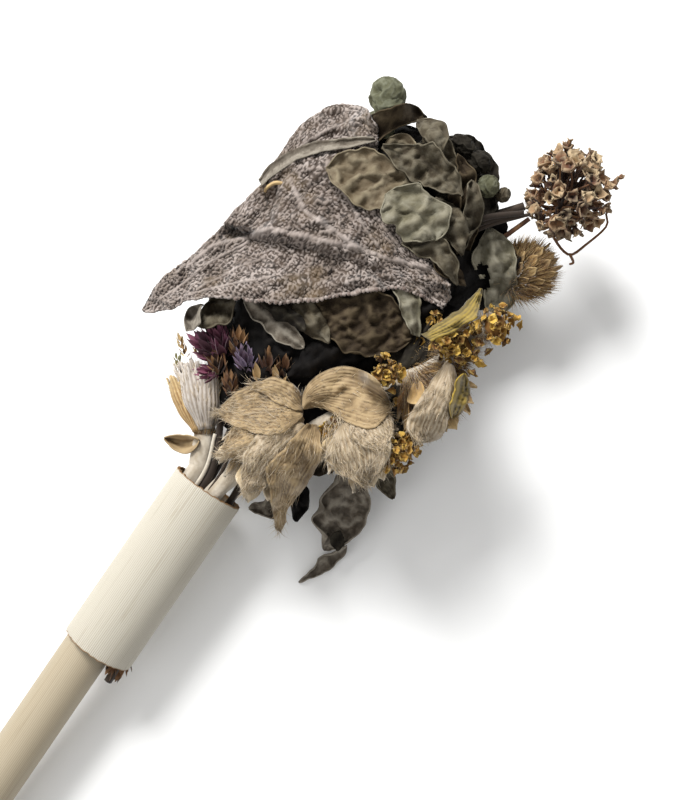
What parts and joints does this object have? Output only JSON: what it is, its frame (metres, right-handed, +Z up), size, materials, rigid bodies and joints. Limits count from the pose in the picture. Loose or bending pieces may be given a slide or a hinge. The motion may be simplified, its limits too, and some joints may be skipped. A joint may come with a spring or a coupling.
{
  "type": "dried herb bundle",
  "caption": "Dried sage, mountain tea, oregano and leafy sprigs held by their stems in a short reed sleeve on a thinner reed handle, laid down.",
  "frame": {"origin": "middle of the bounding box at its lowest level, where the bundle rests on a table", "axes": "+X along the reeds from the handle's free end to the herb head, +Z up from the table"},
  "size_m": [0.2458, 0.0652, 0.045],
  "materials": {
    "reed": "dry ribbed reed, cut and left bare",
    "herb_stem": "dry brown stem",
    "woolly_straw": "straw-coloured stem and bracts under matted hairs",
    "sage": "dried grey-mauve sage leaf with a pebbled felt",
    "grey_green_leaf": "dried grey-green to khaki leaf, matt",
    "dark_leaf": "dried dark leaf, matt",
    "straw_bract": "papery tan bract with ribs",
    "yellow_floret": "dried yellow petals",
    "purple_flower": "dried magenta and brown bracts",
    "seed_head": "dry brown flower head"
  },
  "bodies": {
    "root": {"reed_sleeve": "reed", "reed_handle": "reed", "sage_stem": "herb_stem", "leafy_stem": "herb_stem", "oregano_stem_upper": "herb_stem", "oregano_stem_lower": "herb_stem", "flower_head_stalk": "herb_stem", "tea_stem_left": "woolly_straw", "tea_stem_main": "woolly_straw", "tea_whorl_left": "woolly_straw", "tea_whorl_fan": "woolly_straw", "tea_whorl_middle": "woolly_straw", "tea_whorl_right": "woolly_straw", "woolly_whorl": "woolly_straw", "sage_leaf_large": "sage", "sage_leaf_back": "sage", "back_sage_leaf": "sage", "khaki_leaf_1": "grey_green_leaf", "khaki_leaf_2": "grey_green_leaf", "khaki_leaf_3": "grey_green_leaf", "knob_leaf": "grey_green_leaf", "torn_leaf": "grey_green_leaf", "thin_leaf": "grey_green_leaf", "under_leaf_1": "grey_green_leaf", "under_leaf_2": "grey_green_leaf", "under_leaf_4": "grey_green_leaf", "under_leaf_5": "grey_green_leaf", "back_leaf_1": "grey_green_leaf", "back_leaf_2": "grey_green_leaf", "back_leaf_6": "grey_green_leaf", "dark_leaf_1": "dark_leaf", "dark_leaf_2": "dark_leaf", "knob_flap": "dark_leaf", "under_leaf_3": "dark_leaf", "inner_leaf_1": "dark_leaf", "inner_leaf_2": "dark_leaf", "rim_leaf_1": "dark_leaf", "rim_leaf_2": "dark_leaf", "rim_leaf_3": "dark_leaf", "rim_leaf_4": "dark_leaf", "back_leaf_3": "dark_leaf", "back_leaf_4": "dark_leaf", "back_leaf_5": "dark_leaf", "tea_bract_1": "straw_bract", "tea_bract_2": "straw_bract", "tea_bract_3": "straw_bract", "tea_bract_4": "straw_bract", "tea_bract_5": "straw_bract", "tea_bract_6": "straw_bract", "tea_bract_7": "straw_bract", "tea_bract_curled": "straw_bract", "tea_floret_1": "yellow_floret", "tea_floret_2": "yellow_floret", "tea_floret_3": "yellow_floret", "tea_floret_4": "yellow_floret", "oregano_flower_1": "purple_flower", "oregano_flower_2": "purple_flower", "flower_head": "seed_head"}
  },
  "joints": []
}
